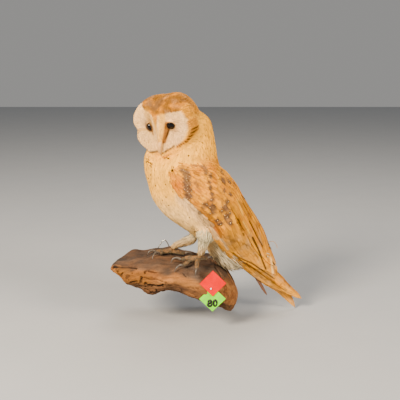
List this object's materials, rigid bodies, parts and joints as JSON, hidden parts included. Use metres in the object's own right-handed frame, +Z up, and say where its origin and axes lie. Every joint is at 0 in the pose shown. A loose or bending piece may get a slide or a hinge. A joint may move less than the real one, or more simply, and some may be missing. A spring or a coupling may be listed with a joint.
{
  "type": "taxidermy barn owl on driftwood",
  "caption": "Still, life-size mounted barn owl standing on a piece of driftwood that hangs on a wall by a wire loop, with two pinned square cards.",
  "frame": {"origin": "middle of the flat sawn on the back of the driftwood, which lies against the wall", "axes": "+X to the viewer's right, +Y into the wall, +Z up"},
  "size_m": [0.2757, 0.1266, 0.3234],
  "materials": {
    "plumage_head": "soft matt feathers: golden crown, white heart-shaped face",
    "plumage_body": "soft matt feathers: cream breast with sparse dark dots, golden back",
    "plumage_wing": "matt orange-buff feathers with grey vermiculation and pale spots",
    "plumage_flight": "matt buff flight feathers with narrow dark bars",
    "plumage_leg": "short pale feathering",
    "foot_skin": "dried, scaled skin",
    "claw_horn": "smooth dark horn",
    "bill_horn": "smooth pale horn",
    "eye_glass": "polished black glass",
    "driftwood": "weathered, cracked wood",
    "steel_wire": "plain drawn wire",
    "card_red": "smooth coloured card",
    "card_green": "smooth coloured card",
    "pin_pearl": "glossy pin head"
  },
  "bodies": {
    "root": {"head": "plumage_head", "neck": "plumage_body", "trunk": "plumage_body", "tail": "plumage_flight", "wing_left": "plumage_wing", "wing_right": "plumage_wing", "primaries_left": "plumage_flight", "primaries_right": "plumage_flight", "thigh_left": "plumage_leg", "thigh_right": "plumage_leg", "tarsus_left": "plumage_leg", "tarsus_right": "plumage_leg", "foot_left": "foot_skin", "foot_right": "foot_skin", "eye_left": "eye_glass", "eye_right": "eye_glass", "bill_upper": "bill_horn", "bill_lower": "bill_horn", "wood_perch": "driftwood", "hanger_wire": "steel_wire", "tag_red": "card_red", "tag_green": "card_green", "tag_pin": "pin_pearl", "loose_feather": "plumage_flight", "claw_left_1": "claw_horn", "claw_left_2": "claw_horn", "claw_left_3": "claw_horn", "claw_left_4": "claw_horn", "claw_right_1": "claw_horn", "claw_right_2": "claw_horn", "claw_right_3": "claw_horn", "claw_right_4": "claw_horn"}
  },
  "joints": []
}
